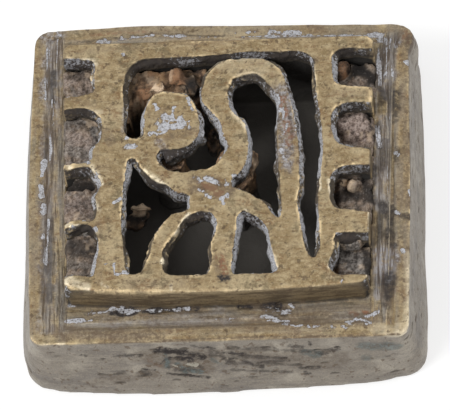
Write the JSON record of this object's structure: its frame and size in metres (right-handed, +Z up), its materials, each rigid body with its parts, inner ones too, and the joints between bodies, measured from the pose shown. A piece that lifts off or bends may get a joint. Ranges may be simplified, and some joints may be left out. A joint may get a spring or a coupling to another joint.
{
  "type": "gold weight",
  "caption": "Low hollow brass weight with leaning walls, threaded rim and a raised openwork top round a looped bird-like figure.",
  "frame": {"origin": "centre of the bounding box on the face the weight rests on", "axes": "+Z up through the openwork top, +X to the right along the front, +Y towards the back"},
  "size_m": [0.028, 0.0262, 0.0085],
  "materials": {
    "sheet_brass": "worn, dull satin tan brass with pale dust in its hollows",
    "wall_brass": "dull grey-brown cast skin with level pits and scratches",
    "inside_brass": "sooty dark cast inside",
    "core_clay": "crumbled fired clay"
  },
  "bodies": {
    "root": {"floor_plate": "inside_brass", "left_wall": "wall_brass", "right_wall": "wall_brass", "front_wall": "wall_brass", "back_wall": "wall_brass", "left_rim_thread": "sheet_brass", "right_rim_thread": "sheet_brass", "front_rim_thread": "sheet_brass", "back_rim_thread": "sheet_brass", "back_bar": "sheet_brass", "front_bar": "sheet_brass", "left_bar": "sheet_brass", "right_bar": "sheet_brass", "left_tooth_1": "sheet_brass", "left_tooth_2": "sheet_brass", "left_tooth_3": "sheet_brass", "right_tooth_1": "sheet_brass", "right_tooth_2": "sheet_brass", "right_tooth_3": "sheet_brass", "figure_head": "sheet_brass", "figure_neck": "sheet_brass", "figure_body": "sheet_brass", "figure_tail_rise": "sheet_brass", "figure_tail_arch": "sheet_brass", "figure_tail_drop": "sheet_brass", "figure_left_leg": "sheet_brass", "figure_middle_leg": "sheet_brass", "figure_right_leg": "sheet_brass", "core_left": "core_clay", "core_right": "core_clay", "core_back": "core_clay", "core_under_head": "core_clay", "core_under_body": "core_clay"}
  },
  "joints": []
}
